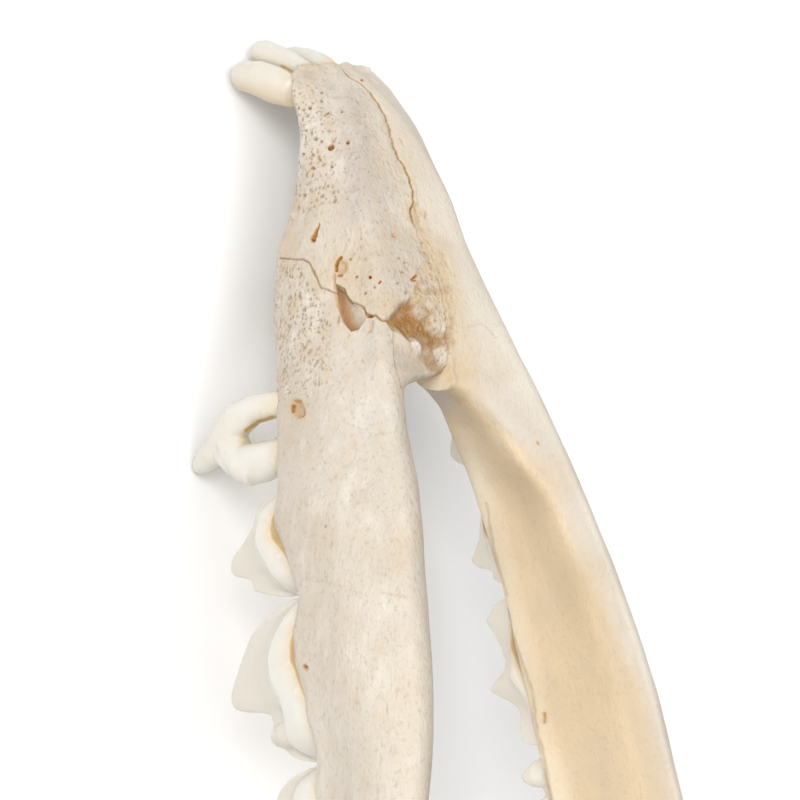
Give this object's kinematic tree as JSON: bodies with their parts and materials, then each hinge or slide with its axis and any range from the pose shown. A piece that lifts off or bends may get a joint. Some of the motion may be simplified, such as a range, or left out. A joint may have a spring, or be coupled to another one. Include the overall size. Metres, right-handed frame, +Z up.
{
  "type": "fox lower jaw",
  "caption": "Lower jaw of an old fox, lying upside down: two slender half jaws meeting at the chin, with worn cheek teeth, tall rear processes and some teeth lost in life.",
  "frame": {"origin": "on the floor, under the middle of the jaw's bounding box", "axes": "+Z up, +Y from the chin towards the jaw joints, +X to the animal's right; the jaw lies upside down"},
  "size_m": [0.056, 0.1074, 0.0361],
  "materials": {
    "bone": "dry, fine-pored cream bone, matt to satin",
    "enamel": "smooth off-white tooth enamel, glossy"
  },
  "bodies": {
    "root": {"half_jaw_right": "bone", "half_jaw_left": "bone"}
  },
  "joints": []
}
